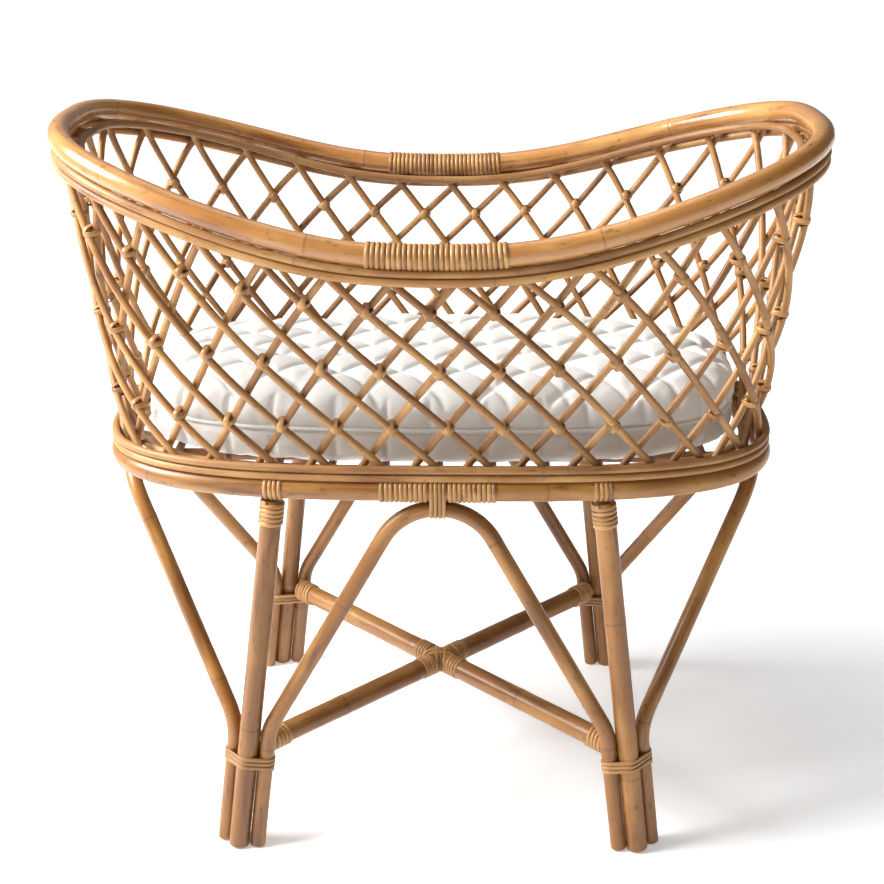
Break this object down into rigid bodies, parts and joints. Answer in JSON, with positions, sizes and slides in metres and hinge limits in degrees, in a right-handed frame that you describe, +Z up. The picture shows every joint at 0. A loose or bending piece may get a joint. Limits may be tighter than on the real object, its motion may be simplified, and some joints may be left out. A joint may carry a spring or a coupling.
{
  "type": "bassinet on stand",
  "caption": "Rattan bassinet: an oval basket of crossed canes with a saddle-shaped rim, on a splayed stand with arched braces and a crossed stretcher, with a loose quilted mattress.",
  "frame": {"origin": "on the floor, at the middle of the four feet", "axes": "+X along the basket, +Y from the front long side to the rear one, +Z up"},
  "size_m": [0.885, 0.5276, 0.8485],
  "materials": {
    "rim_pole": "glossy lacquered rattan, honey brown",
    "stand_pole": "lacquered rattan, warm brown",
    "thin_cane": "peeled cane, pale, satin",
    "bed_pole": "raw rattan, brown",
    "cane_strip": "flat split cane, pale, satin",
    "mattress_cotton": "white quilted cotton, matt"
  },
  "bodies": {
    "frame": {"rim_pole_right": "rim_pole", "rim_pole_left": "rim_pole", "ring_pole_right": "stand_pole", "ring_pole_left": "stand_pole", "leg_front_left": "stand_pole", "leg_front_right": "stand_pole", "leg_rear_left": "stand_pole", "leg_rear_right": "stand_pole", "arch_front": "stand_pole", "arch_rear": "stand_pole", "arch_left": "stand_pole", "arch_right": "stand_pole", "cross_pole_rising": "stand_pole", "cross_pole_falling": "stand_pole", "rim_rod_upper": "thin_cane", "rim_rod_lower": "thin_cane", "rim_rod_inner": "thin_cane", "ring_rod_lower": "thin_cane", "ring_rod_upper": "thin_cane", "ring_rod_inner": "thin_cane", "canes_outer": "thin_cane", "canes_inner": "thin_cane", "bed_slats": "bed_pole", "bed_bearers": "bed_pole", "knots_low": "cane_strip", "knots_middle": "cane_strip", "knots_high": "cane_strip", "rim_binding_front": "cane_strip", "rim_binding_rear": "cane_strip", "ring_binding_front": "cane_strip", "ring_binding_rear": "cane_strip", "leg_ties": "cane_strip", "leg_wraps": "cane_strip", "arch_ties": "cane_strip", "foot_bindings": "cane_strip", "cross_wraps": "cane_strip", "cross_lashing": "cane_strip"},
    "mattress": {"mattress": "mattress_cotton", "mattress_piping": "mattress_cotton"}
  },
  "joints": [
    {"name": "mattress_lift", "type": "slide", "parent": "frame", "child": "mattress", "axis": [0, 0, 1], "range_m": [0, 0.45]}
  ]
}
